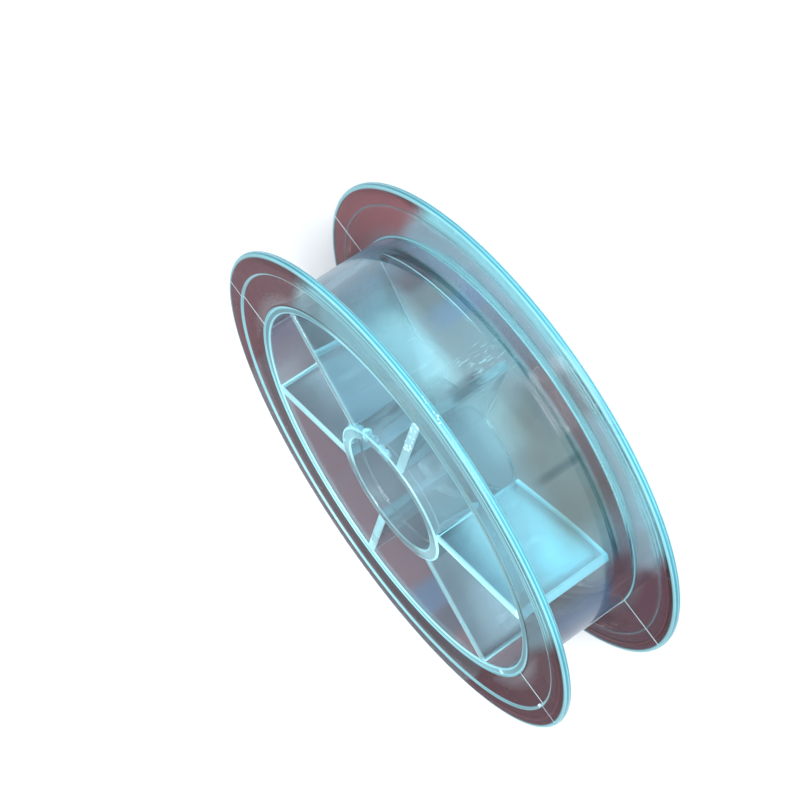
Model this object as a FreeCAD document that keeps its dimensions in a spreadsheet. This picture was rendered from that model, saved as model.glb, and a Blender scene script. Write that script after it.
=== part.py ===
"""Clear plastic spool: two thin flanges on a winding drum, six vanes and an arbor tube inside it.

The spool lies on its base flange with its axis along +Z, and the origin is the middle of its underside.
The base flange has a short plug; the drum, with everything else, lifts off it.
In every outline the first size of a corner is a radius and the second is a height above the base plane.
All lengths are in millimetres.
"""
import os

import FreeCAD
import Part
import Sketcher

DRIVING_SIZES = {
    "spool_width": 20.0,
    "flange_radius": 40.0,
    "flange_thickness": 1.0,
    "rim_band_width": 3.4,
    "face_recess": 0.3,
    "rim_round": 0.4,
    "drum_radius": 31.6,
    "drum_wall": 1.6,
    "drum_end_setback": 0.45,
    "drum_end_bevel": 0.4,
    "flange_seat_step": 0.4,
    "plug_wall": 1.25,
    "plug_depth": 2.2,
    "plug_lead_in": 0.3,
    "plug_clearance": 0.05,
    "bore_radius": 9.0,
    "arbor_wall": 2.4,
    "arbor_setback": 0.2,
    "mouth_step": 0.5,
    "mouth_depth": 1.8,
    "vane_count": 6,
    "vane_first_angle": 19.5,
    "vane_thickness": 1.4,
    "vane_setback": 0.4,
    "vane_to_plug_gap": 1.4,
    "vane_groove_depth": 0.5,
    "edge_round": 0.2,
    "bond_gap": 0.03,
}

# Sizes that follow from the driving ones; each may use the names above it.
DERIVED_SIZES = {
    "base_plane": "0",
    "base_recessed_face": "face_recess",
    "base_inner_face": "flange_thickness",
    "top_inner_face": "spool_width - flange_thickness",
    "top_recessed_face": "spool_width - face_recess",
    "rim_band_inner": "flange_radius - rim_band_width",
    "drum_inner": "drum_radius - drum_wall",
    "drum_top": "spool_width - drum_end_setback",
    "flange_seat": "drum_radius - flange_seat_step",
    "flange_bore": "flange_seat + bond_gap",
    "plug_outer": "drum_inner - plug_clearance",
    "plug_inner": "plug_outer - plug_wall",
    "plug_top": "base_inner_face + plug_depth",
    "arbor_radius": "bore_radius + arbor_wall",
    "mouth_radius": "bore_radius + mouth_step",
    "vane_bottom": "plug_top + vane_to_plug_gap",
    "vane_top": "spool_width - vane_setback",
    "arbor_top": "spool_width - arbor_setback",
    "mouth_floor": "arbor_top - mouth_depth",
    "vane_inner": "arbor_radius - vane_groove_depth + bond_gap",
    "vane_outer": "drum_inner - bond_gap",
    "groove_width": "vane_thickness + 2 * bond_gap",
    "groove_floor": "arbor_radius - vane_groove_depth",
    "groove_mouth": "arbor_radius + vane_groove_depth",
    "groove_bottom": "vane_bottom - bond_gap",
    "rim_fillet": "min(rim_round; 0.45 * flange_thickness)",
    "vane_fillet": "min(edge_round; 0.4 * vane_thickness)",
}

doc = FreeCAD.newDocument("clear_spool")
sheet = doc.addObject("Spreadsheet::Sheet", "sizes")
for row, (size_name, size) in enumerate({**DRIVING_SIZES, **DERIVED_SIZES}.items(), start=1):
    sheet.set(f"A{row}", size_name)
    sheet.set(f"B{row}", str(size) if size_name in DRIVING_SIZES else "=" + size)
    sheet.setAlias(f"B{row}", size_name)
doc.recompute()


def size_of(size_name):
    """The present value of a named size."""
    return float(sheet.get(size_name))


def bind(target, property_path, size_name):
    """Tie one property of an object to a named size."""
    target.setExpression(property_path, f"{sheet.Name}.{size_name}")


def new_body(label):
    """An empty body in the spool's own frame."""
    body = doc.addObject("PartDesign::Body", label)
    body.Label = label
    return body


def origin_feature(body, role):
    """One of the body's own origin planes or axes."""
    return next(item for item in body.Origin.OriginFeatures if item.Role == role)


def outline(body, name, corners):
    """A closed sketch of straight edges in the XZ plane; a corner is two size names, radius and height."""
    sketch = body.newObject("Sketcher::SketchObject", name)
    sketch.AttachmentSupport = [(origin_feature(body, "XZ_Plane"), "")]
    sketch.MapMode = "FlatFace"
    points = [FreeCAD.Vector(size_of(radius), size_of(height), 0) for radius, height in corners]
    count = len(points)
    for index in range(count):
        sketch.addGeometry(Part.LineSegment(points[index], points[(index + 1) % count]))
    for index in range(count):
        sketch.addConstraint(Sketcher.Constraint("Coincident", index, 2, (index + 1) % count, 1))
    for index, corner in enumerate(corners):
        for kind, size_name, length in zip(("DistanceX", "DistanceY"), corner, points[index]):
            number = sketch.addConstraint(Sketcher.Constraint(kind, -1, 1, index, 1, length))
            bind(sketch, f"Constraints[{number}]", size_name)
    return sketch


def turned(body, corners):
    """A full turn of an outline about the spool's axis."""
    sketch = outline(body, body.Label + "_outline", corners)
    turn = body.newObject("PartDesign::Revolution", body.Label + "_turn")
    turn.Profile = sketch
    turn.ReferenceAxis = (sketch, ["V_Axis"])
    turn.Angle = 360
    doc.recompute()
    return turn


def circles_at(feature, radius_name, height_name):
    """Names of the feature's circular edges with this radius at this height."""
    found = []
    for number, edge in enumerate(feature.Shape.Edges, start=1):
        round_edge = isinstance(edge.Curve, Part.Circle)
        if round_edge and abs(edge.Curve.Radius - size_of(radius_name)) < 1e-4:
            if abs(edge.Curve.Center.z - size_of(height_name)) < 1e-4:
                found.append(f"Edge{number}")
    return found


def dressed(body, kind, base, edges, size_name):
    """A fillet or chamfer of one size on the named edges of a feature."""
    dressing = body.newObject(f"PartDesign::{kind}", f"{body.Label}_{kind.lower()}")
    dressing.Base = (base, edges)
    bind(dressing, "Radius" if kind == "Fillet" else "Size", size_name)
    doc.recompute()
    return dressing


def make_top_flange():
    """Flat ring with a raised band at its rim, seated on the stepped top end of the drum."""
    body = new_body("top_flange")
    ring = turned(body, [
        ("flange_bore", "top_inner_face"),
        ("flange_radius", "top_inner_face"),
        ("flange_radius", "spool_width"),
        ("rim_band_inner", "spool_width"),
        ("rim_band_inner", "top_recessed_face"),
        ("flange_bore", "top_recessed_face"),
    ])
    rim_edges = circles_at(ring, "flange_radius", "top_inner_face")
    rim_edges += circles_at(ring, "flange_radius", "spool_width")
    dressed(body, "Fillet", ring, rim_edges, "rim_fillet")
    return body


def make_base_flange():
    """The same ring with a short plug standing on it, which fits into the drum's lower end."""
    body = new_body("base_flange")
    ring = turned(body, [
        ("plug_inner", "base_recessed_face"),
        ("rim_band_inner", "base_recessed_face"),
        ("rim_band_inner", "base_plane"),
        ("flange_radius", "base_plane"),
        ("flange_radius", "base_inner_face"),
        ("plug_outer", "base_inner_face"),
        ("plug_outer", "plug_top"),
        ("plug_inner", "plug_top"),
    ])
    rim_edges = circles_at(ring, "flange_radius", "base_plane")
    rim_edges += circles_at(ring, "flange_radius", "base_inner_face")
    rounded = dressed(body, "Fillet", ring, rim_edges, "rim_fillet")
    lead_edges = circles_at(rounded, "plug_outer", "plug_top")
    dressed(body, "Chamfer", rounded, lead_edges, "plug_lead_in")
    return body


def make_winding_drum():
    """Tube that carries the winding, stepped at the top for the flange, bevelled at the bottom."""
    body = new_body("winding_drum")
    tube = turned(body, [
        ("drum_inner", "base_inner_face"),
        ("drum_radius", "base_inner_face"),
        ("drum_radius", "top_inner_face"),
        ("flange_seat", "top_inner_face"),
        ("flange_seat", "drum_top"),
        ("drum_inner", "drum_top"),
    ])
    dressed(body, "Chamfer", tube, circles_at(tube, "drum_radius", "base_inner_face"), "drum_end_bevel")
    return body


def make_arbor_tube():
    """Tube for the spindle, as deep as the vanes, with a wider mouth and a groove for each vane."""
    body = new_body("arbor_tube")
    tube = turned(body, [
        ("bore_radius", "vane_bottom"),
        ("arbor_radius", "vane_bottom"),
        ("arbor_radius", "arbor_top"),
        ("mouth_radius", "arbor_top"),
        ("mouth_radius", "mouth_floor"),
        ("bore_radius", "mouth_floor"),
    ])
    groove = body.newObject("PartDesign::Pocket", "vane_groove")
    groove.Profile = outline(body, "vane_groove_outline", [
        ("groove_floor", "groove_bottom"),
        ("groove_mouth", "groove_bottom"),
        ("groove_mouth", "spool_width"),
        ("groove_floor", "spool_width"),
    ])
    groove.Midplane = True
    bind(groove, "Length", "groove_width")
    pattern = body.newObject("PartDesign::PolarPattern", "vane_grooves")
    pattern.Originals = [groove]
    pattern.Axis = (origin_feature(body, "Z_Axis"), [""])
    pattern.Angle = 360
    bind(pattern, "Occurrences", "vane_count")
    body.Tip = pattern
    doc.recompute()
    if body.Shape.Volume >= tube.Shape.Volume:
        raise RuntimeError("the grooves cut nothing from the arbor tube")
    turn_to_vane(body, 0)
    return body


def make_vane(number):
    """Flat plate from its groove in the arbor out to the drum's inner wall."""
    body = new_body(f"spoke_vane_{number + 1}")
    plate = body.newObject("PartDesign::Pad", f"{body.Label}_plate")
    plate.Profile = outline(body, f"{body.Label}_outline", [
        ("vane_inner", "vane_bottom"),
        ("vane_outer", "vane_bottom"),
        ("vane_outer", "vane_top"),
        ("vane_inner", "vane_top"),
    ])
    plate.Midplane = True
    bind(plate, "Length", "vane_thickness")
    doc.recompute()
    edges = [f"Edge{index}" for index in range(1, len(plate.Shape.Edges) + 1)]
    dressed(body, "Fillet", plate, edges, "vane_fillet")
    turn_to_vane(body, number)
    return body


def turn_to_vane(body, number):
    """Turn a body about the axis to a vane's place, counted from +X towards +Y."""
    first_angle = f"{sheet.Name}.vane_first_angle"
    step = f"360 / {sheet.Name}.vane_count"
    body.setExpression("Placement.Rotation.Angle", f"({first_angle} + {number} * {step}) * 1 deg")


sub_parts = [make_top_flange(), make_base_flange(), make_winding_drum(), make_arbor_tube()]
sub_parts += [make_vane(number) for number in range(int(size_of("vane_count")))]
doc.recompute()

for item in doc.Objects:
    if "Invalid" in item.State or "Error" in item.State:
        raise RuntimeError(f"{item.Label} failed: {item.State}")
for sub_part in sub_parts:
    if sub_part.Shape.isNull() or not sub_part.Shape.isValid() or len(sub_part.Shape.Solids) != 1:
        raise RuntimeError(f"{sub_part.Label} is not one valid solid")

os.makedirs("parts", exist_ok=True)
for sub_part in sub_parts:
    sub_part.Shape.exportStep(f"parts/{sub_part.Label}.step")
    print(f"{sub_part.Label}: {sub_part.Shape.Volume:.1f} mm3, {sub_part.Shape.BoundBox}")
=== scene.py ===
# %% [markdown]
# # A clear plastic spool
#
# The part is an empty spool for thread, cord or ribbon: two thin rings on a wide hollow drum, six flat
# vanes inside the drum and a small tube in the middle for a spindle. Everything is moulded in one clear
# plastic with a faint blue-green tint, so most of the work here is in clean, smoothly turned walls and in
# how their edges catch the light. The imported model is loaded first: it fixes every size and place.

# %% Load the frame
import math
import random

import bpy
from mathutils import Matrix, Vector


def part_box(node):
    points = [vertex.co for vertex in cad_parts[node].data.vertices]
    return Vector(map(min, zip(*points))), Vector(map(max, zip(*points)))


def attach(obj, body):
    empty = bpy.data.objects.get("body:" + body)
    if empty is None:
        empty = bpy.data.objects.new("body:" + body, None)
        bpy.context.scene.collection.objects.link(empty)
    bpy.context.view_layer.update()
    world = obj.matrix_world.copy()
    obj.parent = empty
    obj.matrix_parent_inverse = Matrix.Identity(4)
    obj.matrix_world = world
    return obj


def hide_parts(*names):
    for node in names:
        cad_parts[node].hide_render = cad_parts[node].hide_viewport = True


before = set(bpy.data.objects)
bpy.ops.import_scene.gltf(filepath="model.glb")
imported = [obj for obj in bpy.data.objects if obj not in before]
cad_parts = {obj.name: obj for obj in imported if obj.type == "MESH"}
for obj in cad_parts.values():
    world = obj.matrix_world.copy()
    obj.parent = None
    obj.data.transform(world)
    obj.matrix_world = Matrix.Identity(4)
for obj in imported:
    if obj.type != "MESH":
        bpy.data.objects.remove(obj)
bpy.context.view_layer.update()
MM = 0.001
print("frame:", sorted(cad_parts))

# %% [markdown]
# ## Sizes
#
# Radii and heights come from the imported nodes, so the looks follow the solids. Only wall thicknesses that a
# bounding box can't give are written here, in millimetres turned into metres.

# %% Read the sizes from the nodes
FLANGE_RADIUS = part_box("top_flange")[1].x
SPOOL_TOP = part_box("top_flange")[1].z
TOP_INNER_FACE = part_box("top_flange")[0].z
DRUM_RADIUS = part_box("winding_drum")[1].x
BASE_INNER_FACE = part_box("winding_drum")[0].z
DRUM_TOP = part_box("winding_drum")[1].z
PLUG_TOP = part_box("base_flange")[1].z
ARBOR_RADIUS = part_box("arbor_tube")[1].x
ARBOR_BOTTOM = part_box("arbor_tube")[0].z
ARBOR_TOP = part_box("arbor_tube")[1].z
VANE_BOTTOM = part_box("spoke_vane_1")[0].z
VANE_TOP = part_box("spoke_vane_1")[1].z

RIM_BAND = 3.4 * MM
FACE_RECESS = 0.3 * MM
SEAT_STEP = 0.4 * MM
JOINT_GAP = 0.03 * MM
DRUM_WALL = 1.6 * MM
DRUM_BEVEL = 0.4 * MM
PLUG_WALL = 1.25 * MM
PLUG_GAP = 0.05 * MM
ARBOR_WALL = 2.4 * MM
MOUTH_STEP = 0.5 * MM
MOUTH_DEPTH = 1.8 * MM

DRUM_INNER = DRUM_RADIUS - DRUM_WALL
SEAT_RADIUS = DRUM_RADIUS - SEAT_STEP
BAND_INNER = FLANGE_RADIUS - RIM_BAND
PLUG_OUTER = DRUM_INNER - PLUG_GAP
PLUG_INNER = PLUG_OUTER - PLUG_WALL
BORE_RADIUS = ARBOR_RADIUS - ARBOR_WALL
MOUTH_RADIUS = BORE_RADIUS + MOUTH_STEP
print(f"flange {FLANGE_RADIUS / MM:.1f} mm, drum {DRUM_RADIUS / MM:.1f} mm, bore {BORE_RADIUS / MM:.1f} mm")

# %% [markdown]
# ## Small tools
#
# Operators act on whatever is selected, so a few short functions select one piece or some of its points.
# Every piece is shaded smooth by angle at the end, which keeps round walls round and real corners sharp.
# It is then seated on the body that it moves with.

# %% Select, smooth and seat pieces
SMOOTH_ANGLE = math.radians(35)


def select_only(piece):
    """Make one object the only selected and the active one."""
    bpy.ops.object.select_all(action="DESELECT")
    piece.select_set(True)
    bpy.context.view_layer.objects.active = piece


def select_points(piece, wanted):
    """In edit mode, select only the points for which wanted(point) is true."""
    bpy.ops.mesh.select_all(action="DESELECT")
    bpy.ops.object.mode_set(mode="OBJECT")
    for point in piece.data.vertices:
        point.select = wanted(point.co)
    bpy.ops.object.mode_set(mode="EDIT")


def smooth(piece):
    """Shade a piece smooth, with its real corners kept."""
    select_only(piece)
    bpy.ops.object.shade_smooth_by_angle(angle=SMOOTH_ANGLE)


def seat(piece, body, *nodes):
    """Put a piece on its body, in place of the nodes that it stands for."""
    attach(piece, body)
    if nodes:
        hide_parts(*nodes)


# %% [markdown]
# ## Turned walls
#
# Both flanges, the drum and the arbor are round about one axis. By hand they would be drawn as a half
# section and spun. The section starts as one point, is extruded from corner to corner, closed, and its
# corners are rounded before the spin, which keeps each rounding as crisp or as soft as the mould made it.

# %% Spin a section into a ring
SPIN_STEPS = 256
ROUND_SEGMENTS = 4
SAME_PLACE = 1e-6
MERGE_DISTANCE = 1e-7


def at_corner(point, corner):
    """True where a point lies on a corner, which is a radius and a height."""
    return math.dist((point.x, point.z), corner) < SAME_PLACE


def spun_ring(name, section):
    """A ring from a section of (radius, height, rounding) corners, given in order round the section."""
    corners = [(radius, height) for radius, height, rounding in section]
    bpy.ops.object.select_all(action="DESELECT")
    bpy.ops.mesh.primitive_plane_add(size=MM)
    ring = bpy.context.object
    ring.name = name
    bpy.ops.object.mode_set(mode="EDIT")
    bpy.ops.mesh.select_mode(type="VERT")
    bpy.ops.mesh.select_all(action="SELECT")
    bpy.ops.mesh.merge(type="CENTER")
    bpy.ops.transform.translate(value=(corners[0][0], 0, corners[0][1]))
    for start, end in zip(corners, corners[1:]):
        step = (end[0] - start[0], 0, end[1] - start[1])
        bpy.ops.mesh.extrude_region_move(TRANSFORM_OT_translate={"value": step})
    select_points(ring, lambda point: at_corner(point, corners[0]) or at_corner(point, corners[-1]))
    bpy.ops.mesh.edge_face_add()
    for radius, height, rounding in section:
        if rounding:
            select_points(ring, lambda point: at_corner(point, (radius, height)))
            bpy.ops.mesh.bevel(offset=rounding, segments=ROUND_SEGMENTS, affect="VERTICES")
    bpy.ops.mesh.select_all(action="SELECT")
    bpy.ops.mesh.spin(steps=SPIN_STEPS, angle=math.tau, center=(0, 0, 0), axis=(0, 0, 1))
    bpy.ops.mesh.select_all(action="SELECT")
    bpy.ops.mesh.remove_doubles(threshold=MERGE_DISTANCE)
    bpy.ops.mesh.normals_make_consistent(inside=False)
    bpy.ops.object.mode_set(mode="OBJECT")
    smooth(ring)
    print(f"{name}: {len(ring.data.polygons)} faces")
    return ring


# %% [markdown]
# ## Flanges
#
# Each flange is a thin flat ring with a raised band at its rim. The top one sits on a step at the drum's
# end. The base one carries the short plug that the drum is pushed onto. Only the rim is rounded by much:
# a mould leaves the other corners almost sharp.

# %% Make the two flanges
RIM_ROUND = 0.4 * MM
CRISP_ROUND = 0.12 * MM
SOFT_ROUND = 0.24 * MM

top_flange = spun_ring("top_flange_ring", [
    (SEAT_RADIUS + JOINT_GAP, TOP_INNER_FACE, 0),
    (FLANGE_RADIUS, TOP_INNER_FACE, RIM_ROUND),
    (FLANGE_RADIUS, SPOOL_TOP, RIM_ROUND),
    (BAND_INNER, SPOOL_TOP, CRISP_ROUND),
    (BAND_INNER, SPOOL_TOP - FACE_RECESS, CRISP_ROUND),
    (SEAT_RADIUS + JOINT_GAP, SPOOL_TOP - FACE_RECESS, CRISP_ROUND),
])
seat(top_flange, "spool_body", "top_flange")

base_flange = spun_ring("base_flange_ring", [
    (PLUG_INNER, FACE_RECESS, CRISP_ROUND),
    (BAND_INNER, FACE_RECESS, CRISP_ROUND),
    (BAND_INNER, 0, CRISP_ROUND),
    (FLANGE_RADIUS, 0, RIM_ROUND),
    (FLANGE_RADIUS, BASE_INNER_FACE, RIM_ROUND),
    (PLUG_OUTER, BASE_INNER_FACE, 0),
    (PLUG_OUTER, PLUG_TOP, SOFT_ROUND),
    (PLUG_INNER, PLUG_TOP, CRISP_ROUND),
])
seat(base_flange, "base_flange", "base_flange")

# %% [markdown]
# ## Drum and arbor
#
# The drum is a plain tube with a step at the top, where the flange sits, and a small bevel at the bottom.
# The arbor is a thicker, shorter tube, about as deep as the vanes. Its upper mouth is a little wider.
# Both could be cylinders with a Solidify modifier, but a spun section gives each corner its own rounding.

# %% Make the drum and the arbor
drum = spun_ring("drum_shell", [
    (DRUM_INNER, BASE_INNER_FACE, 0),
    (DRUM_RADIUS - DRUM_BEVEL, BASE_INNER_FACE, 0),
    (DRUM_RADIUS, BASE_INNER_FACE + DRUM_BEVEL, CRISP_ROUND),
    (DRUM_RADIUS, TOP_INNER_FACE, 0),
    (SEAT_RADIUS, TOP_INNER_FACE, 0),
    (SEAT_RADIUS, DRUM_TOP, CRISP_ROUND),
    (DRUM_INNER, DRUM_TOP, SOFT_ROUND),
])
seat(drum, "spool_body", "winding_drum")

arbor = spun_ring("arbor_sleeve", [
    (BORE_RADIUS, ARBOR_BOTTOM, CRISP_ROUND),
    (ARBOR_RADIUS, ARBOR_BOTTOM, SOFT_ROUND),
    (ARBOR_RADIUS, ARBOR_TOP, SOFT_ROUND),
    (MOUTH_RADIUS, ARBOR_TOP, SOFT_ROUND),
    (MOUTH_RADIUS, ARBOR_TOP - MOUTH_DEPTH, CRISP_ROUND),
    (BORE_RADIUS, ARBOR_TOP - MOUTH_DEPTH, CRISP_ROUND),
])
seat(arbor, "spool_body", "arbor_tube")

# %% [markdown]
# ## Vanes
#
# A vane is a flat plate with softly broken edges. A plate is shaped from a cube, beveled and turned about
# the axis to its place. The same plate, made smaller, gives the raised lines and the gate mark further on.

# %% Make the six vanes
VANE_COUNT = 6
VANE_FIRST_ANGLE = math.radians(19.5)
VANE_THICKNESS = 1.4 * MM
VANE_ROUND = 0.18 * MM
PLATE_SEGMENTS = 3


def plate(name, size, radius, height, angle, rounding):
    """A flat block with its middle at a radius and a height, turned about the axis by an angle."""
    bpy.ops.object.select_all(action="DESELECT")
    bpy.ops.mesh.primitive_cube_add(size=1)
    block = bpy.context.object
    block.name = name
    bpy.ops.object.mode_set(mode="EDIT")
    bpy.ops.mesh.select_all(action="SELECT")
    bpy.ops.transform.resize(value=size)
    bpy.ops.transform.translate(value=(radius, 0, height))
    bpy.ops.object.mode_set(mode="OBJECT")
    bevel = block.modifiers.new("broken_edges", "BEVEL")
    bevel.width = rounding
    bevel.segments = PLATE_SEGMENTS
    bpy.ops.object.modifier_apply(modifier=bevel.name)
    block.rotation_euler.z = angle
    bpy.ops.object.transform_apply(location=True, rotation=True, scale=True)
    smooth(block)
    return block


def make_vane(number):
    """One vane, from the arbor out to the drum."""
    inner = ARBOR_RADIUS + JOINT_GAP
    outer = DRUM_INNER - JOINT_GAP
    size = (outer - inner, VANE_THICKNESS, VANE_TOP - VANE_BOTTOM)
    height = (VANE_TOP + VANE_BOTTOM) / 2
    angle = VANE_FIRST_ANGLE + number * math.tau / VANE_COUNT
    vane = plate(f"vane_plate_{number + 1}", size, (outer + inner) / 2, height, angle, VANE_ROUND)
    seat(vane, "spool_body", f"spoke_vane_{number + 1}")
    return vane


vanes = [make_vane(number) for number in range(VANE_COUNT)]
print("vanes:", [vane.name for vane in vanes])

# %% [markdown]
# ## Lines left by the mould
#
# A fine raised line crosses both flanges and runs along the drum in one plane, where the halves of the
# mould met. A bump in the material would do from afar, but a real thin shape catches the light from every
# side. The lines on the drum and the top flange move with the drum, the others stay on the base flange.

# %% Make the raised lines
WELD_LINE_ANGLE = math.radians(168)
LINE_WIDTH = 0.22 * MM
LINE_HEIGHT = 0.05 * MM
LINE_ROUND = LINE_HEIGHT / 4
LINE_SINK = LINE_HEIGHT / 3


def join(name, pieces):
    """Several pieces as one object."""
    select_only(pieces[0])
    for piece in pieces:
        piece.select_set(True)
    bpy.ops.object.join()
    bpy.context.object.name = name
    return bpy.context.object


def flat_line(inner, outer, face, angle):
    """A raised line on a flat face, from one radius to another."""
    size = (outer - inner, LINE_WIDTH, LINE_HEIGHT)
    return plate("flat_line", size, (inner + outer) / 2, face, angle, LINE_ROUND)


def drum_line(angle):
    """A raised line along the drum, from its bevel to the top flange."""
    bottom = BASE_INNER_FACE + DRUM_BEVEL
    size = (LINE_HEIGHT, LINE_WIDTH, TOP_INNER_FACE - bottom)
    return plate("drum_line", size, DRUM_RADIUS, (TOP_INNER_FACE + bottom) / 2, angle, LINE_ROUND)


line_end = FLANGE_RADIUS - RIM_ROUND
upper_lines = []
lower_lines = []
for weld_angle in (WELD_LINE_ANGLE, WELD_LINE_ANGLE + math.pi):
    upper_lines.append(flat_line(SEAT_RADIUS, BAND_INNER, SPOOL_TOP - FACE_RECESS, weld_angle))
    upper_lines.append(flat_line(BAND_INNER, line_end, SPOOL_TOP - LINE_SINK, weld_angle))
    upper_lines.append(drum_line(weld_angle))
    lower_lines.append(flat_line(DRUM_RADIUS, line_end, BASE_INNER_FACE, weld_angle))
upper_line = join("upper_mould_lines", upper_lines)
seat(upper_line, "spool_body")
lower_line = join("lower_mould_lines", lower_lines)
seat(lower_line, "base_flange")
print(f"mould lines: {len(upper_line.data.polygons)} faces above, {len(lower_line.data.polygons)} below")

# %% [markdown]
# ## Gate and ejector marks
#
# A small oblong mark beside the line on the top flange shows where the plastic came in, and a small ring on
# the drum's end where a pin pushed the piece out. The oblong is the same beveled plate as before, sunk into
# the flange until its face is level with the rim band.

# %% Make the oblong and the round mark
GATE_RADIUS = 37.0 * MM
GATE_ANGLE = math.radians(-14.6)
GATE_SIZE = (1.5 * MM, 0.5 * MM, 0.9 * MM)
GATE_ROUND = 0.06 * MM
EJECTOR_RADIUS = 30.6 * MM
EJECTOR_ANGLE = math.radians(-29)
EJECTOR_RING = 0.4 * MM
EJECTOR_WALL = 0.06 * MM


def on_circle(radius, angle, height):
    """A place at an angle on a circle about the axis."""
    return (radius * math.cos(angle), radius * math.sin(angle), height)


gate_mark = plate("gate_mark", GATE_SIZE, GATE_RADIUS, SPOOL_TOP - GATE_SIZE[2] / 2, GATE_ANGLE, GATE_ROUND)
seat(gate_mark, "spool_body")

bpy.ops.object.select_all(action="DESELECT")
ejector_place = on_circle(EJECTOR_RADIUS, EJECTOR_ANGLE, DRUM_TOP)
bpy.ops.mesh.primitive_torus_add(
    location=ejector_place, major_radius=EJECTOR_RING, minor_radius=EJECTOR_WALL)
ejector_mark = bpy.context.object
ejector_mark.name = "ejector_mark"
bpy.ops.object.transform_apply(location=True, rotation=True, scale=True)
smooth(ejector_mark)
seat(ejector_mark, "spool_body")
print(f"marks: {gate_mark.name} and {ejector_mark.name}")

# %% [markdown]
# ## Cement
#
# Along the second vane the joint is rough: small beads of cement sit on the vane's edge, on the drum's end
# and on the rim beyond it. Each starts as a small sphere that is squashed and turned by random numbers. The
# numbers come from a seed, so no two beads are alike and every run gives the same ones.

# %% Make the beads along the second vane
RANDOM = random.Random(7)
BEAD_VANE_ANGLE = VANE_FIRST_ANGLE + math.tau / VANE_COUNT
BEAD_STRETCH = (0.6, 1.3)
BEAD_FLATNESS = (0.4, 0.9)
BEAD_SIZES = (0.1 * MM, 0.28 * MM)
BEAD_SPREAD = 0.6 * MM
# Beads on the vane's edge and on the drum's end: how many, nearest and farthest radius, height.
BEAD_ROWS = (
    (16, 20.0 * MM, 29.4 * MM, VANE_TOP),
    (8, 30.2 * MM, 31.0 * MM, DRUM_TOP),
)
RIM_BEAD_COUNT = 12
RIM_BEAD_TURNS = (math.radians(-6), math.radians(1))
RIM_BEAD_SIZES = (0.08 * MM, 0.16 * MM)
RIM_BEAD_MARGIN = 0.25 * MM
RIM_BEAD_SINK = 0.06 * MM


def bead(radius, angle, height, size):
    """A small flattened blob of cement."""
    place = on_circle(radius, angle, height)
    bpy.ops.mesh.primitive_ico_sphere_add(subdivisions=2, radius=size, location=place)
    blob = bpy.context.object
    blob.scale = [RANDOM.uniform(*limits) for limits in (BEAD_STRETCH, BEAD_STRETCH, BEAD_FLATNESS)]
    blob.rotation_euler.z = RANDOM.uniform(0, math.tau)
    bpy.ops.object.transform_apply(location=True, rotation=True, scale=True)
    smooth(blob)
    return blob


beads = []
for count, nearest, farthest, level in BEAD_ROWS:
    for _ in range(count):
        spot = RANDOM.uniform(nearest, farthest)
        turn = RANDOM.uniform(-BEAD_SPREAD, BEAD_SPREAD) / spot
        beads.append(bead(spot, BEAD_VANE_ANGLE + turn, level, RANDOM.uniform(*BEAD_SIZES)))
for _ in range(RIM_BEAD_COUNT):
    turn = RANDOM.uniform(*RIM_BEAD_TURNS)
    level = RANDOM.uniform(TOP_INNER_FACE + RIM_BEAD_MARGIN, SPOOL_TOP - RIM_BEAD_MARGIN)
    size = RANDOM.uniform(*RIM_BEAD_SIZES)
    beads.append(bead(FLANGE_RADIUS - RIM_BEAD_SINK, BEAD_VANE_ANGLE + turn, level, size))
cement = join("cement_beads", beads)
seat(cement, "spool_body")
print(f"beads: {len(cement.data.polygons)} faces")

# %% [markdown]
# ## Lumps on the arbor
#
# Where the arbor was glued, a row of larger, clear lumps sits on one side of its mouth. They are the same
# squashed spheres, sunk into the arbor's end so that they bulge out round its corner.

# %% Make the lumps on the arbor's mouth
LUMP_ANGLES = (96, 104, 112, 124, 135, 144, 152, 161, 170, 178)
LUMP_SIZES = (0.8 * MM, 1.05 * MM)
LUMP_SPOTS = (0.91 * ARBOR_RADIUS, 0.95 * ARBOR_RADIUS)
LUMP_SINK = 0.75

lumps = []
for lump_angle in LUMP_ANGLES:
    size = RANDOM.uniform(*LUMP_SIZES)
    spot = RANDOM.uniform(*LUMP_SPOTS)
    lumps.append(bead(spot, math.radians(lump_angle), ARBOR_TOP - LUMP_SINK * size, size))
arbor_cement = join("arbor_cement", lumps)
seat(arbor_cement, "spool_body")
print(f"lumps: {len(arbor_cement.data.polygons)} faces")

# %% [markdown]
# ## Shader maths in plain Python
#
# A finish is a tree of nodes. One method adds any node: it takes the node's type, its settings, and the
# values or links of its sockets. A small class stands for one output socket, and adding or multiplying two
# of them adds a Math node, so a pattern reads as a formula.

# %% Wrap sockets so that formulas add nodes


class Wave:
    """A number or a colour that varies over a surface: one output socket of a node tree."""

    def __init__(self, tree, socket):
        self.tree = tree
        self.socket = socket

    def math(self, operation, *values):
        return self.tree.node("ShaderNodeMath", 0, {"operation": operation}, dict(enumerate(values)))

    def __add__(self, other):
        return self.math("ADD", self, other)

    __radd__ = __add__

    def __sub__(self, other):
        return self.math("SUBTRACT", self, other)

    def __rsub__(self, other):
        return self.math("SUBTRACT", other, self)

    def __mul__(self, other):
        return self.math("MULTIPLY", self, other)

    __rmul__ = __mul__

    def __truediv__(self, other):
        return self.math("DIVIDE", self, other)

    def __pow__(self, other):
        return self.math("POWER", self, other)

    def larger(self, other):
        return self.math("MAXIMUM", self, other)

    def absolute(self):
        return self.math("ABSOLUTE", self)

    def rise(self, start, end):
        """0 at start, 1 at end, with a smooth step between; end may lie below start."""
        sockets = {"Value": self, "From Min": start, "From Max": end}
        return self.tree.node("ShaderNodeMapRange", 0, {"interpolation_type": "SMOOTHSTEP"}, sockets)


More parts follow.
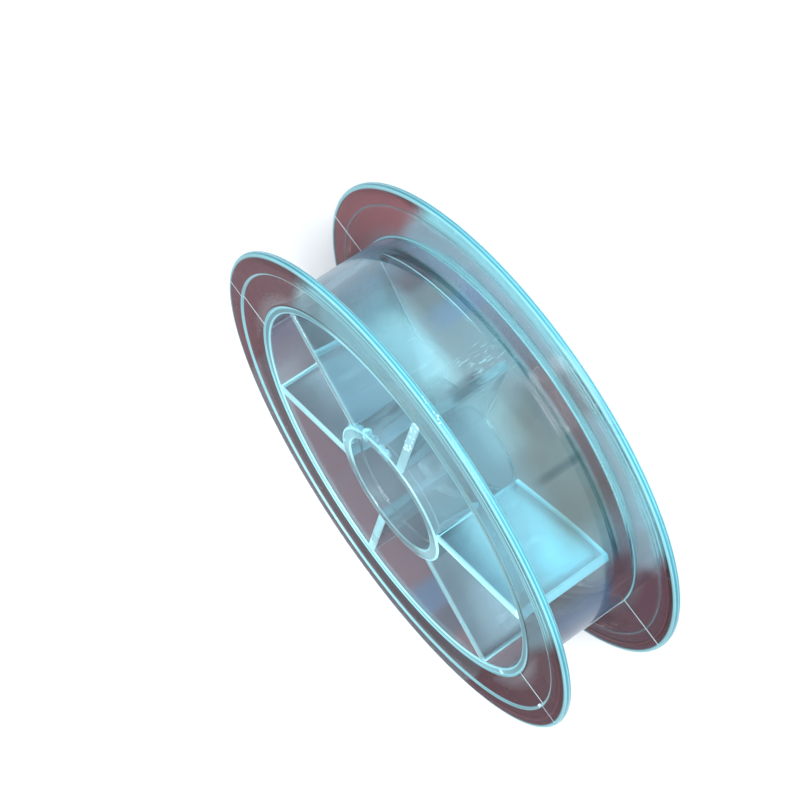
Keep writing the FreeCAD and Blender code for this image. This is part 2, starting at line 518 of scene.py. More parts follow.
class Tree:
    """The node tree of a material or a world, emptied and ready for new nodes."""

    def __init__(self, owner):
        owner.use_nodes = True
        self.tree = owner.node_tree
        self.tree.nodes.clear()

    def node(self, kind, output, settings, sockets):
        """Add one node and give back one of its outputs, or nothing where it has none."""
        made = self.tree.nodes.new(kind)
        for key, value in settings.items():
            setattr(made, key, value)
        for key, value in sockets.items():
            if isinstance(value, Wave):
                self.tree.links.new(value.socket, made.inputs[key])
            else:
                made.inputs[key].default_value = value
        return Wave(self, made.outputs[output]) if made.outputs else None

    def split(self, vector):
        """The three numbers of a vector."""
        first = self.node("ShaderNodeSeparateXYZ", "X", {}, {0: vector})
        return [Wave(self, output) for output in first.socket.node.outputs]

    def blend(self, amount, first, second):
        """A colour between two others."""
        return self.node("ShaderNodeMix", 2, {"data_type": "RGBA"}, {"Factor": amount, 6: first, 7: second})


# %% [markdown]
# ## A finish
#
# Every finish starts from the same places on the surface: the piece's own coordinates, and from them the
# distance from the spool's axis and the angle round it. Colours are written as they look on screen and
# turned into the linear values that the renderer works with.

# %% Build a finish


class Finish(Tree):
    """A material under construction, with the surface's own coordinates at hand."""

    def __init__(self, name):
        self.material = bpy.data.materials.new(name)
        super().__init__(self.material)
        self.place = self.node("ShaderNodeTexCoord", "Object", {}, {})
        self.x, self.y, self.z = self.split(self.place)
        self.radius = (self.x * self.x + self.y * self.y) ** 0.5
        self.angle = self.y.math("ARCTAN2", self.y, self.x)

    def noise(self, scale, detail=2.0, stretch=(1, 1, 1)):
        """Soft random clouds, stretched along the axes."""
        spread = self.node("ShaderNodeMapping", "Vector", {}, {"Vector": self.place, "Scale": stretch})
        return self.node("ShaderNodeTexNoise", 0, {}, {"Vector": spread, "Scale": scale, "Detail": detail})

    def bump(self, height, strength, distance):
        """A surface direction that follows small heights."""
        sockets = {"Height": height, "Strength": strength, "Distance": distance}
        return self.node("ShaderNodeBump", "Normal", {}, sockets)

    def shader(self, sockets):
        """A principled shader with the given sockets filled."""
        return self.node("ShaderNodeBsdfPrincipled", "BSDF", {}, sockets)

    def mixed(self, amount, first, second):
        """One shader where the amount is 0, the other where it is 1."""
        return self.node("ShaderNodeMixShader", 0, {}, {0: amount, 1: first, 2: second})

    def finish(self, shader):
        """End the tree in a shader and give back the material."""
        self.node("ShaderNodeOutputMaterial", None, {}, {"Surface": shader})
        return self.material


def colour(red, green, blue):
    """A colour written as 0 to 255 on screen, as the shader's own linear values."""
    def linear(channel):
        share = channel / 255
        return share / 12.92 if share <= 0.04045 else ((share + 0.055) / 1.055) ** 2.4
    return (linear(red), linear(green), linear(blue), 1.0)


# %% [markdown]
# ## Clear plastic
#
# The walls are clear with a blue-green cast. Towards one side a painted mauve stands for dark surroundings
# seen through them, as painted shade. Light that enters the broad faces is led to the edges and leaves there,
# so every rim and edge looks bright and a little milky, and some faces carry a thin haze of the same colour.
# A clear shader alone leaves the edges dull, so the edges and the haze are a second, satin finish with a
# painted glow, mixed in by radius and height: painted highlights on the edges, and haze with painted light.

# %% Make the plastic that all pieces share
PLASTIC_IOR = 1.5
SATIN_CLEARNESS = 0.2
SATIN_SHINE = 0.3
SWIRL_SCALE = 110
SWIRL_STRENGTH = 0.08
SWIRL_DEPTH = 0.4 * MM
STREAK_SCALE = 700
STREAK_STRETCH = (1, 1, 0.25)
LINE_CORE = 0.4
# Colours of painted light: edge highlights and lit haze.
PAINTED_EDGE_HIGHLIGHT = colour(176, 234, 242)
LIT_HAZE_BLUE = colour(152, 222, 236)
# The side where painted mauve shade stands for dark surroundings seen through the walls.
PAINTED_MAUVE_SIDE = math.radians(-95)
COOL_SIDE = math.radians(72)


def line_at(value, place, half_width):
    """1 on a line where the value reaches the place, falling to 0 at the half width."""
    return (value - place).absolute().rise(half_width, LINE_CORE * half_width)


def circle(made, radius, half_width):
    """1 on a circle about the axis, falling to 0 at the half width."""
    return line_at(made.radius, radius, half_width)


def towards(made, angle):
    """Minus 1 to 1 across the spool, along a direction given by its angle."""
    return (made.x * math.cos(angle) + made.y * math.sin(angle)) / made.radius


def both_ways(made, angle):
    """0 to 1 across the spool, the same towards an angle and away from it."""
    along = towards(made, angle)
    return along * along


def by_end(made, first, second):
    """One colour at the first mould line's end of the spool, another at the second one's."""
    return made.blend(towards(made, WELD_LINE_ANGLE).rise(0.5, -0.5), first, second)


def painted_edge_light(made):
    """The colour of the painted light on the edges and in the haze."""
    return made.blend(made.noise(SWIRL_SCALE), PAINTED_EDGE_HIGHLIGHT, LIT_HAZE_BLUE)


def clear_plastic(name, tint, edges, haze, painted_glow, lit=painted_edge_light, shine=SATIN_SHINE):
    """Clear wall with painted highlights on its edges and some haze that carries painted light.

    The glow argument is how much the edges and the haze glow as painted light, lit its colour, and shine
    how much the edges and the haze reflect.
    """
    made = Finish(name)
    streaks = made.noise(STREAK_SCALE, 3.0, STREAK_STRETCH).rise(0.55, 0.8)
    swirl = made.noise(SWIRL_SCALE)
    normal = made.bump(swirl, SWIRL_STRENGTH, SWIRL_DEPTH)
    wall = made.shader({
        "Base Color": tint(made),
        "Roughness": 0.005 + 0.03 * streaks,
        "IOR": PLASTIC_IOR,
        "Transmission Weight": 1.0,
        "Normal": normal,
    })
    # Painted highlights on the edges, and haze that carries painted light.
    bright = edges(made) * (0.8 + 0.2 * swirl)
    haze_and_painted_light = haze(made) * (0.6 + 0.5 * swirl + 0.25 * streaks)
    painted_light_colour = lit(made)
    # The satin glows in the colour of the edges: painted light.
    satin = made.shader({
        "Base Color": painted_light_colour,
        "Roughness": 0.24 + 0.12 * swirl,
        "IOR": PLASTIC_IOR,
        "Transmission Weight": SATIN_CLEARNESS,
        "Normal": normal,
        "Specular IOR Level": shine,
        "Emission Color": painted_light_colour,
        "Emission Strength": painted_glow,
    })
    return made.finish(made.mixed(bright.larger(haze_and_painted_light), wall, satin))


def dress(piece, material):
    """Give a piece one material."""
    piece.data.materials.clear()
    piece.data.materials.append(material)
    print(f"{piece.name}: {material.name}, {len(material.node_tree.nodes)} nodes")


# %% [markdown]
# ## The flanges' finish
#
# The rings are cool and nearly clear along one side, and mauve towards the two mould lines, one end more
# than the other. The mauve is painted shade: it stands for dark surroundings seen through the clear ring,
# and it is mixed by angle. Bright circles follow the rim, the step of the rim band and the drum, where light
# leaves the wall. They are painted highlights that lie in the wall and have no shape of their own, so they
# are mixed in by radius.

# %% Tint the flanges
NEARLY_CLEAR = colour(234, 244, 247)
TOP_COOL = colour(216, 244, 248)
# Mauve colours at the ends: painted shade, for dark surroundings seen through the ring.
TOP_PAINTED_MAUVE = colour(110, 70, 80)
TOP_PAINTED_DEEPER_MAUVE = colour(76, 36, 50)
BASE_COOL = colour(226, 238, 245)
# The base flange's pink and mauve are painted shade in the same way.
BASE_PAINTED_MAUVE = colour(234, 184, 188)
BASE_PAINTED_DEEPER_MAUVE = colour(188, 150, 162)
# The colour of a patch of painted shade on the base flange's cool side.
BASE_SHADE = colour(176, 186, 192)
PAINTED_MAUVE_ENDS = math.radians(161)
SHADE_ANGLE = math.radians(65)
SHADE_HALF_ANGLE = math.radians(8)
PATCH_SCALE = 60
SEAT_FADE = 3 * MM


def painted_mauve_ends(made):
    """1 near the two mould lines and along the side of painted mauve shade, 0 elsewhere."""
    patches = 0.3 * (made.noise(PATCH_SCALE) - 0.5)
    outwards = (made.radius - DRUM_RADIUS) / (FLANGE_RADIUS - DRUM_RADIUS)
    ends = (both_ways(made, PAINTED_MAUVE_ENDS) + 0.6 * patches + 0.3 * outwards).rise(0.71, 0.86)
    return ends.larger(0.85 * (towards(made, PAINTED_MAUVE_SIDE) + patches).rise(-0.15, 0.3))


def flange_tint(cool, mauve_part, deeper_mauve_part, shade_level):
    """Clear inside the drum, beyond it cool in the middle and mauve at the ends, as painted shade.

    One end is a deeper mauve than the other. A small patch of painted shade may lie on the cool side.
    """
    def tint(made):
        from_seat = made.radius.rise(SEAT_RADIUS, SEAT_RADIUS + SEAT_FADE)
        # A patch of painted shade on the cool side.
        shade = shade_level * line_at(made.angle, SHADE_ANGLE, SHADE_HALF_ANGLE)
        shaded = made.blend(shade, cool, BASE_SHADE)
        painted_mauve_share = painted_mauve_ends(made) * (0.5 + 0.5 * from_seat)
        ring = made.blend(painted_mauve_share, shaded, by_end(made, mauve_part, deeper_mauve_part))
        return made.blend(made.radius.rise(DRUM_INNER, SEAT_RADIUS), NEARLY_CLEAR, ring)
    return tint


# %% Light the flanges' rims and lines
# Colours of painted light in the flanges: pale and teal rim highlights, and a mauve haze that is painted
# shade.
RIM_HIGHLIGHT_PALE = colour(154, 217, 226)
RIM_HIGHLIGHT_TEAL = colour(60, 149, 168)
PAINTED_MAUVE_HAZE = colour(130, 88, 94)
PAINTED_DEEPER_MAUVE_HAZE = colour(102, 56, 64)
TOP_BAND_SIDE = math.radians(94)
BASE_BAND_SIDE = math.radians(97)
BASE_BAND_START = BAND_INNER + 0.5 * MM
# How much the flanges' edges and haze glow: painted light.
FLANGE_PAINTED_GLOW = 0.1
# Painted light in the plug, which lightens its shade.
PLUG_PAINTED_LIGHT = 0.12
PLUG_FADE = 0.2 * MM
BAND_FADE = 1 * MM
SEAM_HALF_WIDTH = 0.22 * MM
STEP_HALF_WIDTH = 0.3 * MM
STEP_HALF_HEIGHT = 0.6 * MM
BROAD_HALF_WIDTH = 0.7 * MM
FINE_LINE = FLANGE_RADIUS - 1.6 * MM
FINE_HALF_WIDTH = 0.36 * MM
FINER_LINE = FLANGE_RADIUS - 2.5 * MM
FINER_HALF_WIDTH = 0.28 * MM
BESIDE_SEAM = 0.8 * MM
RIM_START = FLANGE_RADIUS - 0.8 * MM
RIM_FULL = FLANGE_RADIUS - 0.45 * MM
RIM_FACE = FLANGE_RADIUS - 0.3 * MM
DULL_END = FLANGE_RADIUS - 0.5 * MM
# Half thicknesses of the deep band in the rim's painted highlight and of the paler core inside it: outermost
# and full.
PAINTED_DEEP_BAND = (0.42 * MM, 0.3 * MM)
PAINTED_PALE_CORE = (0.1 * MM, 0.04 * MM)


def flange_haze(cool_level, mauve_level, band_level, band_side, band_start):
    """A thin haze with painted glow, with one level on the cool side and one on the side of painted mauve
    shade.

    It is thicker in the plug and in a short band beyond a radius, on one side: painted light there.
    """
    def haze(made):
        plug = made.radius.rise(DRUM_INNER + PLUG_FADE, DRUM_INNER)
        beyond = made.radius.rise(band_start, band_start + BAND_FADE)
        band = beyond * towards(made, band_side).rise(0.84, 0.98)
        spread = cool_level + (mauve_level - cool_level) * painted_mauve_ends(made)
        return spread.larger(PLUG_PAINTED_LIGHT * plug).larger(band_level * band)
    return haze


def flange_edges(inner_line, outer_face, step_level):
    """Painted highlights on the rim, the step of the rim band on the outer face and the line where the drum
    meets the flange.

    Fine painted circles lie between them on the clear part, and one also at the deeper mauve end.
    """
    def edges(made):
        rim = 0.8 * made.radius.rise(RIM_START, RIM_FULL)
        step = circle(made, BAND_INNER, STEP_HALF_WIDTH) * line_at(made.z, outer_face, STEP_HALF_HEIGHT)
        seam = 0.8 * circle(made, inner_line, SEAM_HALF_WIDTH)
        fine = 0.7 * circle(made, FINE_LINE, FINE_HALF_WIDTH)
        finer = 0.6 * circle(made, FINER_LINE, FINER_HALF_WIDTH)
        broad = (0.2 + 0.4 * step_level) * circle(made, BAND_INNER, BROAD_HALF_WIDTH)
        beside = 0.45 * circle(made, inner_line + BESIDE_SEAM, BROAD_HALF_WIDTH)
        beside = beside * towards(made, COOL_SIDE).rise(0.5, 0.9)
        clear = 1 - painted_mauve_ends(made)
        far_end = towards(made, WELD_LINE_ANGLE).rise(-0.6, -0.9)
        lines = (finer.larger(broad) * clear).larger(fine * clear.larger(far_end))
        return rim.larger(step_level * step).larger(seam).larger(lines).larger(beside)
    return edges


def flange_light(inner_line, middle):
    """Colours of the painted light: pale lines, deep blue-green in the middle of the rim's thickness, and a
    dull haze at the ends that is painted mauve shade.
    """
    def lit(made):
        off_middle = (made.z - middle).absolute()
        deep = off_middle.rise(*PAINTED_DEEP_BAND) - 0.6 * off_middle.rise(*PAINTED_PALE_CORE)
        deep = deep * made.radius.rise(BAND_INNER, RIM_FACE)
        lines = circle(made, BAND_INNER, STEP_HALF_WIDTH).larger(circle(made, inner_line, SEAM_HALF_WIDTH))
        between = (1 - lines) * made.radius.rise(DULL_END, RIM_START)
        dull = by_end(made, PAINTED_MAUVE_HAZE, PAINTED_DEEPER_MAUVE_HAZE)
        return made.blend(between * painted_mauve_ends(made), made.blend(deep, RIM_HIGHLIGHT_PALE, RIM_HIGHLIGHT_TEAL), dull)
    return lit


dress(top_flange, clear_plastic(
    "clear_top_flange",
    tint=flange_tint(TOP_COOL, TOP_PAINTED_MAUVE, TOP_PAINTED_DEEPER_MAUVE, shade_level=0.0),
    edges=flange_edges(SEAT_RADIUS, SPOOL_TOP, step_level=0.75),
    haze=flange_haze(0.09, 0.4, band_level=0.3, band_side=TOP_BAND_SIDE, band_start=SEAT_RADIUS),
    painted_glow=FLANGE_PAINTED_GLOW,
    lit=flange_light(SEAT_RADIUS, (TOP_INNER_FACE + SPOOL_TOP) / 2)))
dress(base_flange, clear_plastic(
    "clear_base_flange",
    tint=flange_tint(BASE_COOL, BASE_PAINTED_MAUVE, BASE_PAINTED_DEEPER_MAUVE, shade_level=0.9),
    edges=flange_edges(DRUM_RADIUS, 0.0, step_level=0.2),
    haze=flange_haze(0.04, 0.1, band_level=0.75, band_side=BASE_BAND_SIDE, band_start=BASE_BAND_START),
    painted_glow=FLANGE_PAINTED_GLOW,
    lit=flange_light(DRUM_RADIUS, BASE_INNER_FACE / 2)))

# %% [markdown]
# ## The drum's finish
#
# The drum's wall is thicker and curved. It is blue-green on one side. Lavender near the mould lines, a mauve
# tint on the other side and soft darker and paler patches are painted shade and painted reflections, which
# stand for surroundings seen in and through the wall, and one thin dark stripe is a painted shadow. They
# could be painted by hand on an unwrapped wall, but patches given by angle and height need no image and
# follow the wall. The foot, where the plug stands behind the wall, is painted duller, and the ledge at the
# top carries a painted highlight.

# %% Tint the drum
DRUM_COOL = colour(180, 199, 206)
DRUM_CYAN = colour(176, 214, 224)
# Lavender ends and mauve side: painted shade, for dark surroundings seen through the wall.
DRUM_PAINTED_END = colour(126, 116, 134)
DRUM_PAINTED_MAUVE = colour(132, 119, 127)
CLOUD_SCALE = 75
CLOUD_STRETCH = (1, 1, 0.5)
# Patches of painted shade and painted reflection in the wall: middle angle in degrees, middle height in mm,
# half angle, half height, colour.
DRUM_PAINTED_PATCHES = (
    (118, 5.5, 13, 4.5, colour(122, 104, 122)),
    (104, 6.0, 7, 4.0, colour(150, 158, 160)),
    (99, 4.5, 5, 6.0, colour(150, 184, 220)),
    (104, 14.0, 16, 5.0, colour(176, 224, 234)),
    (52, 4.5, 30, 9.0, colour(146, 138, 130)),
    (66, 3.4, 10, 3.6, colour(136, 136, 140)),
    # A thin dark stripe: a painted shadow.
    (51.2, 6.5, 1.4, 4.8, colour(90, 94, 98)),
    (-77, 16.5, 8, 4.5, colour(112, 130, 152)),
    (-66, 17.0, 8, 5.0, colour(110, 112, 122)),
    (10, 3.4, 11, 3.2, colour(116, 82, 94)),
    (80, 11.2, 3, 3.4, colour(92, 94, 112)),
    (131, 12.0, 16, 9.0, colour(130, 172, 198)),
)


def wall_patch(made, angle, height, half_angle, half_height):
    """1 in a soft patch of the round wall, 0 outside it; angles in degrees, heights in mm."""
    around = line_at(made.angle, math.radians(angle), math.radians(half_angle))
    return around * line_at(made.z, height * MM, half_height * MM)


def drum_tint(made):
    """Blue-green with paler and greyer clouds. Lavender at the ends, mauve on one side and the patches are
    painted shade and painted reflections.
    """
    clouds = made.noise(CLOUD_SCALE, 1.0, CLOUD_STRETCH)
    cool = made.blend(clouds.rise(0.4, 0.65), DRUM_COOL, DRUM_CYAN)
    ended = made.blend((both_ways(made, WELD_LINE_ANGLE) + 0.5 * clouds).rise(0.95, 1.3), cool, DRUM_PAINTED_END)
    mauve_part = (towards(made, PAINTED_MAUVE_SIDE) + 1.2 * (clouds - 0.5)).rise(0.0, 0.6)
    tint = made.blend(mauve_part, ended, DRUM_PAINTED_MAUVE)
    for *place, patch_colour in DRUM_PAINTED_PATCHES:
        tint = made.blend(wall_patch(made, *place) * (0.4 + clouds), tint, patch_colour)
    return tint


# %% Light the drum's edges and haze
# Colours of painted light in the drum: dull haze at the ends, and at the foot a cool glow and a brown that is
# painted shade.
DRUM_END_HAZE = colour(66, 92, 120)
DRUM_TEAL_HAZE = colour(98, 138, 158)
FOOT_COOL = colour(136, 156, 178)
FOOT_BROWN = colour(104, 84, 92)
BROWN_SIDE = math.radians(25)
DRUM_TURN = math.radians(160)
LEDGE_CORNER_HALF_WIDTHS = (0.3 * MM, 0.35 * MM)
LEDGE_ARC = math.radians(102)
LEDGE_ARC_HALF_ANGLE = math.radians(20)
FOOT_RISE = math.radians(10)
FOOT_RISE_HALF_ANGLE = math.radians(16)
SCRATCH_SCALE = 15000
SCRATCH_STRETCH = (1, 1, 0.05)
# Places on the wall, as in the list of patches.
FLOW_LINE = (114, 5, 32, 0.14)
SCUFF = (math.degrees(BEAD_VANE_ANGLE + 0.05), 6.5, 8, 6)
BRIGHT_GLOW = (95, 14.5, 18, 5)
FAINT_GLOW = (69, 11, 12, 4)


def drum_edges(made):
    """Painted highlights: the ledge at the top, a band below it inside, the bevel at the bottom and one faint
    flow line.
    """
    ledge = made.z.rise(DRUM_TOP - 0.35 * MM, DRUM_TOP - 0.1 * MM)
    seat_width, inner_width = LEDGE_CORNER_HALF_WIDTHS
    corners = circle(made, SEAT_RADIUS, seat_width).larger(circle(made, DRUM_INNER, inner_width))
    mauve_part = 0.2 * towards(made, PAINTED_MAUVE_SIDE).rise(0.0, 0.6)
    cool = 0.5 * towards(made, COOL_SIDE).rise(0.2, 0.8)
    cool = cool + 0.35 * line_at(made.angle, LEDGE_ARC, LEDGE_ARC_HALF_ANGLE)
    inside = made.radius.rise(DRUM_INNER + 0.3 * DRUM_WALL, DRUM_INNER + 0.1 * DRUM_WALL)
    band = 0.12 * inside * made.z.rise(DRUM_TOP - 1.1 * MM, DRUM_TOP - 0.7 * MM)
    bevel = made.z.rise(BASE_INNER_FACE + DRUM_BEVEL, BASE_INNER_FACE + 0.8 * DRUM_BEVEL) * (1 - inside)
    lines = band.larger(0.8 * bevel).larger(0.5 * wall_patch(made, *FLOW_LINE))
    return (ledge * (0.35 + mauve_part + 0.5 * corners).larger(cool)).larger(lines)


def drum_ends(made):
    """1 near the two mould lines, on the side away from the painted mauve one, 0 elsewhere."""
    ends = both_ways(made, WELD_LINE_ANGLE).larger(both_ways(made, DRUM_TURN))
    return ends.rise(0.7, 0.92) * towards(made, COOL_SIDE).rise(-0.2, 0.05)


def drum_foot(made):
    """1 along the bottom of the drum, as high as the plug reaches, and higher in one place."""
    low = made.z.rise(PLUG_TOP + 0.5 * MM, PLUG_TOP - 0.5 * MM)
    high = made.z.rise(PLUG_TOP + 3 * MM, PLUG_TOP + 1 * MM)
    return low.larger(line_at(made.angle, FOOT_RISE, FOOT_RISE_HALF_ANGLE) * high)


def drum_haze(made):
    """A soft haze with painted glow on the cool side, the ends and the foot, with two patches of painted glow
    and a scuffed one.
    """
    side = towards(made, PAINTED_MAUVE_SIDE).rise(0.3, -0.7)
    scratches = made.noise(SCRATCH_SCALE, 2.0, SCRATCH_STRETCH).rise(0.55, 0.68)
    scuff = wall_patch(made, *SCUFF) * scratches
    glow = wall_patch(made, *BRIGHT_GLOW).larger(0.35 * wall_patch(made, *FAINT_GLOW))
    outside = made.radius.rise(DRUM_INNER + 0.4 * DRUM_WALL, DRUM_INNER + 0.6 * DRUM_WALL)
    clouded = drum_ends(made).larger(0.6 * drum_foot(made))
    return (0.05 * side + (0.4 * scuff + 0.3 * glow) * outside).larger(0.75 * clouded * outside)


def drum_light(made):
    """Colours of the painted light: pale blue-green edges and haze, duller below the ledge at the two ends,
    dullest at the foot, where one side is a brown of painted shade.
    """
    below_ledge = made.z.rise(TOP_INNER_FACE + 0.3 * MM, TOP_INNER_FACE)
    dull = both_ways(made, WELD_LINE_ANGLE).rise(0.5, 0.75) * below_ledge
    wall_colour = made.blend(dull, painted_edge_light(made), by_end(made, DRUM_TEAL_HAZE, DRUM_END_HAZE))
    above_bevel = made.z.rise(BASE_INNER_FACE + DRUM_BEVEL, BASE_INNER_FACE + 1.3 * DRUM_BEVEL)
    foot_colour = made.blend(towards(made, BROWN_SIDE).rise(0.1, 0.7), FOOT_COOL, FOOT_BROWN)
    return made.blend(drum_foot(made) * above_bevel, wall_colour, foot_colour)


dress(drum, clear_plastic(
    "clear_drum", drum_tint, drum_edges, drum_haze, painted_glow=0.2, lit=drum_light, shine=0.05))

# %% [markdown]
# ## The arbor's and the vanes' finish
#
# These walls are nearly clear, with painted highlights on the narrow sides and a greyer haze with painted
# glow on the broad ones. The haze isn't the same on each vane: the first one is hazed most and glows most,
# as painted light where light falls on its face, the others much less. So one function makes them all, and
# a short table says how each vane differs.

# %% Dress the arbor
WALL_COOL = colour(212, 233, 240)
WALL_DEEP = colour(190, 218, 230)
HAZE_GREY = colour(166, 202, 214)
TINT_SCALE = 45
MOUTH_HALF_WIDTH = 0.3 * MM
CORNER_HALF_WIDTH = 0.4 * MM


def arbor_tint(made):
    """Nearly clear."""
    return made.blend(made.noise(TINT_SCALE, 1.0), NEARLY_CLEAR, WALL_COOL)


def arbor_edges(made):
    """Painted highlights on the corners of both ends, with a fainter face between them, brightest towards the
    mould lines.
    """
    top = made.z.rise(ARBOR_TOP - 0.4 * MM, ARBOR_TOP - 0.15 * MM)
    bottom = made.z.rise(ARBOR_BOTTOM + 0.3 * MM, ARBOR_BOTTOM + 0.1 * MM)
    mouth = circle(made, MOUTH_RADIUS, MOUTH_HALF_WIDTH)
    corner = circle(made, ARBOR_RADIUS, CORNER_HALF_WIDTH)
    ends = both_ways(made, WELD_LINE_ANGLE).rise(0.5, 0.95)
    return top.larger(bottom) * (0.1 + 0.4 * ends + (0.4 + 0.4 * ends) * corner.larger(0.5 * mouth))


def arbor_haze(made):
    """Haze with painted glow all round, strongest on the side away from the painted mauve one."""
    return 0.12 + 0.1 * towards(made, PAINTED_MAUVE_SIDE).rise(0.3, -0.5)


def arbor_light(made):
    """Colours of the painted light: pale blue-green ends with a greyer haze between them."""
    return made.blend(arbor_edges(made).rise(0.05, 0.3), HAZE_GREY, PAINTED_EDGE_HIGHLIGHT)


dress(arbor, clear_plastic(
    "clear_arbor", arbor_tint, arbor_edges, arbor_haze, painted_glow=0.2, lit=arbor_light))

# %% Dress the vanes
FROST_SCALE = 160
FROST_DEPTH = 3 * MM


def wall_tint(made):
    """The same pale blue-green all over, a shade deeper in slow swirls."""
    return made.blend(made.noise(TINT_SCALE, 1.0), WALL_COOL, WALL_DEEP)


def vane_edges(near_level, outer_level):
    """Painted highlights on the narrow sides of a vane: its upper, lower and outer edge, each with its own
    brightness.
    """
    def edges(made):
        top = near_level * made.z.rise(VANE_TOP - 0.5 * MM, VANE_TOP - 0.25 * MM)
        bottom = outer_level * made.z.rise(VANE_BOTTOM + 0.5 * MM, VANE_BOTTOM + 0.3 * MM)
        outer = outer_level * made.radius.rise(DRUM_INNER - 0.6 * MM, DRUM_INNER - 0.4 * MM)
        return top.larger(bottom).larger(outer)
    return edges


def vane_haze(level, near_share):
    """Haze with painted glow, thicker towards the outer end and the bottom, with a share of it at the upper
    edge.
    """
    def haze(made):
        outwards = made.radius.rise(0.8 * ARBOR_RADIUS, 0.9 * DRUM_INNER)
        down = made.z.rise(VANE_TOP, VANE_BOTTOM + FROST_DEPTH)
        frost = 0.6 + 0.8 * made.noise(FROST_SCALE, 4.0)
        margin = made.radius.rise(DRUM_INNER - 0.7 * MM, DRUM_INNER - 2.4 * MM)
        margin = margin * made.z.rise(VANE_BOTTOM + 0.6 * MM, VANE_BOTTOM + 2.4 * MM)
        return level * frost * (0.3 + 0.7 * margin) * (near_share + down * (0.4 + 0.5 * outwards))
    return haze


def vane_light(made):
    """Colours of the painted light: pale blue-green edges with a greyer haze between them."""
    return made.blend(vane_edges(1.0, 1.0)(made), HAZE_GREY, PAINTED_EDGE_HIGHLIGHT)


# For each vane: haze, its share at the upper edge, brightness of the painted highlight on the upper edge
# and on the outer and lower edges, painted glow on them and its colour.
VANE_LOOKS = (
    # The first vane's strong haze and glow are painted light on its face.
    (1.0, 0.0, 0.36, 1.0, 1.0, painted_edge_light),
    (0.35, 0.15, 0.5, 0.45, 0.4, vane_light),
    (0.4, 0.12, 0.22, 0.1, 0.4, vane_light),
    (0.6, 0.2, 0.6, 0.6, 0.4, vane_light),
    (0.2, 0.2, 0.6, 0.3, 0.4, vane_light),
    (0.6, 0.2, 0.3, 0.35, 0.4, vane_light),
)

for number, (vane, looks) in enumerate(zip(vanes, VANE_LOOKS), start=1):
    haze_level, near_share, near_level, outer_level, painted_glow, lit = looks
    edges = vane_edges(near_level, outer_level)
    haze = vane_haze(haze_level, near_share)
    dress(vane, clear_plastic(f"clear_vane_{number}", wall_tint, edges, haze, painted_glow, lit))

# %% [markdown]
# ## The finish of the cement and the marks
#
# The lumps on the arbor are as clear as the walls, with small painted glints on their skin. The beads, the
# raised lines and the marks are too small to look through: they only show as pale, milky glints, so one plain
# satin finish serves them all. Its pale colour is milky cement on the beads and a painted highlight on the
# lines and marks.

# %% Dress the cement and the marks
GLINT_SCALE = 900
GLINT_LEVEL = 0.75
CEMENT_HAZE = 0.2
GRAIN_SCALE = 2500
GRAIN_WHITE = colour(228, 244, 250)
MILKY_CLEARNESS = 0.3


def painted_glints(made):
    """Painted glints all over."""
    return GLINT_LEVEL * made.noise(GLINT_SCALE).rise(0.4, 0.6)


def even_haze(made):
    """The same haze all over."""
    return CEMENT_HAZE


def milky(name):
    """The pale satin of raised lines, marks and beads: milky cement, and a painted highlight on the lines and
    marks.
    """
    made = Finish(name)
    grain = made.noise(GRAIN_SCALE)
    return made.finish(made.shader({
        "Base Color": made.blend(grain, PAINTED_EDGE_HIGHLIGHT, GRAIN_WHITE),
        "Roughness": 0.25 + 0.2 * grain,
        "IOR": PLASTIC_IOR,
        "Transmission Weight": MILKY_CLEARNESS,
    }))


dress(arbor_cement, clear_plastic("clear_cement", wall_tint, painted_glints, even_haze, painted_glow=0.4))
milky_finish = milky("milky_marks")
for piece in (upper_line, lower_line, gate_mark, ejector_mark, cement):
    dress(piece, milky_finish)

# %% [markdown]
# ## Floor and sky
#
# A wide pale floor and a soft sky give the clear walls something plain to show. The floor is turned up at
# its far edge, which hides the horizon. The sky is brightest overhead and dim near the far horizon, which
# keeps reflections on the flat rings low.

# %% Make the floor and the sky
FLOOR_SIDE = 60.0
FLOOR_LIP = 2.0
FLOOR_DROP = 0.02 * MM
FLOOR_WHITE = (0.95, 0.95, 0.95, 1)
FLOOR_ROUGHNESS = 0.9
SKY_LOW = (0.25, 0.25, 0.28, 1)
SKY_HIGH = (0.86, 0.94, 1.0, 1)
SKY_LEAN = 0.3
SKY_START = 0.15
SKY_END = 0.75


def plain_floor():
    """A wide white floor under the base flange, turned up at its far edge."""
    bpy.ops.object.select_all(action="DESELECT")
    bpy.ops.mesh.primitive_plane_add(size=FLOOR_SIDE, location=(0, 0, -FLOOR_DROP))
    floor = bpy.context.object
    floor.name = "pale_floor"
    bpy.ops.object.mode_set(mode="EDIT")
    select_points(floor, lambda point: point.y < 0)
    bpy.ops.mesh.extrude_region_move(TRANSFORM_OT_translate={"value": (0, 0, FLOOR_LIP)})
    bpy.ops.object.mode_set(mode="OBJECT")
    made = Finish("pale_floor")
    dress(floor, made.finish(made.shader({"Base Color": FLOOR_WHITE, "Roughness": FLOOR_ROUGHNESS})))


def soft_sky():
    """A sky that brightens upwards and towards the light."""
    world = bpy.data.worlds.new("soft_sky")
    bpy.context.scene.world = world
    sky = Tree(world)
    ahead, up = sky.split(sky.node("ShaderNodeTexCoord", "Generated", {}, {}))[1:]
    height = up + SKY_LEAN * ahead
    shade = sky.blend(height.rise(SKY_START, SKY_END), SKY_LOW, SKY_HIGH)
    glow = sky.node("ShaderNodeBackground", 0, {}, {"Color": shade})
    sky.node("ShaderNodeOutputWorld", None, {}, {"Surface": glow})


plain_floor()
soft_sky()

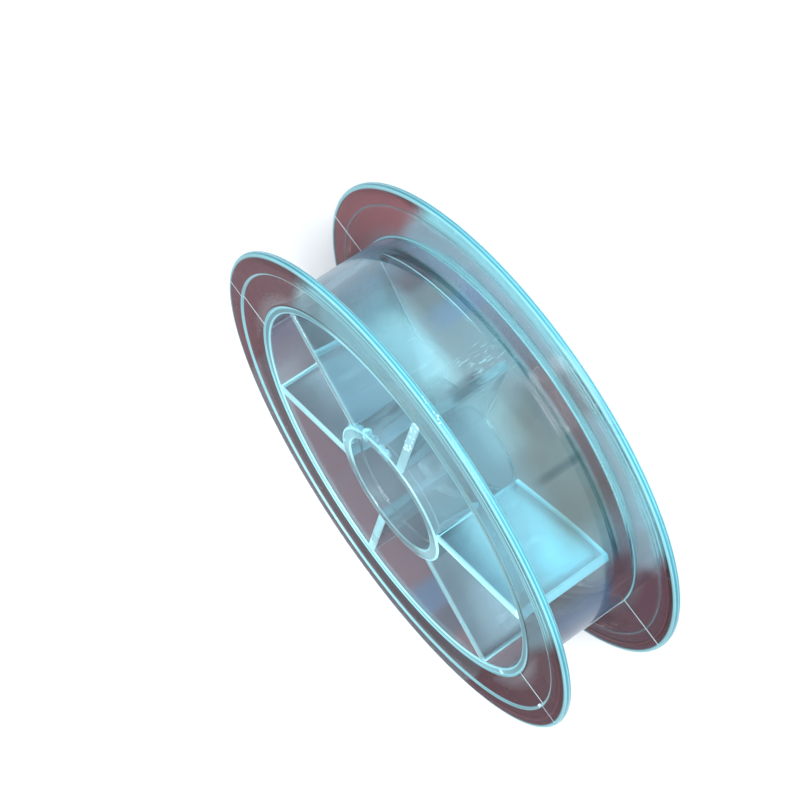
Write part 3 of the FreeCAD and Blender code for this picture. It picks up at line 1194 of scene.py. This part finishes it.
# %% [markdown]
# ## Light and camera
#
# One wide soft light comes over the camera's shoulder. The camera looks at the spool from the side and from
# above the top flange's plane, and is rolled so that the spool's axis runs up to the right. Rays have to
# pass many clear walls, so the limits on their bounces are raised.

# %% Make the light and the camera
SUN_SOURCE = (0.42, 0.80, 0.37)
SUN_SPREAD = math.radians(35)
SUN_STRENGTH = 5.7
CAMERA_PLACE = FLANGE_RADIUS * Vector((2.2444, 5.8981, 1.8784))
CAMERA_BACK = Vector((0.3778, 0.8813, 0.2833))
CAMERA_UP = Vector((-0.7051, 0.4722, -0.5287))
CAMERA_LENS = 81.9
SENSOR_WIDTH = 36
CLIP_START = 0.01
CLIP_END = 100
WALL_BOUNCES = 32


def soft_sun(name, source, spread, strength):
    """A wide, soft sun that shines from a direction."""
    bpy.ops.object.light_add(type="SUN", location=source)
    lamp = bpy.context.object
    lamp.name = name
    lamp.data.angle = spread
    lamp.data.energy = strength
    lamp.rotation_euler = (-lamp.location).to_track_quat("-Z", "Y").to_euler()


def photo_camera():
    """The photograph's view of the spool."""
    data = bpy.data.cameras.new("photo_camera")
    data.sensor_width = SENSOR_WIDTH
    data.lens = CAMERA_LENS
    data.clip_start = CLIP_START
    data.clip_end = CLIP_END
    camera = bpy.data.objects.new("photo_camera", data)
    bpy.context.scene.collection.objects.link(camera)
    right = CAMERA_UP.cross(CAMERA_BACK)
    turn = Matrix((right, CAMERA_UP, CAMERA_BACK)).transposed().to_4x4()
    camera.matrix_world = Matrix.Translation(CAMERA_PLACE + Vector((0, 0, SPOOL_TOP / 2))) @ turn
    bpy.context.scene.camera = camera


soft_sun("shoulder_light", SUN_SOURCE, SUN_SPREAD, SUN_STRENGTH)
photo_camera()
bpy.context.scene.view_settings.view_transform = "Standard"
bpy.context.scene.cycles.max_bounces = WALL_BOUNCES
bpy.context.scene.cycles.transmission_bounces = WALL_BOUNCES
print(f"camera: {CAMERA_LENS} mm lens, {(CAMERA_PLACE.length / FLANGE_RADIUS):.2f} flange radii away")
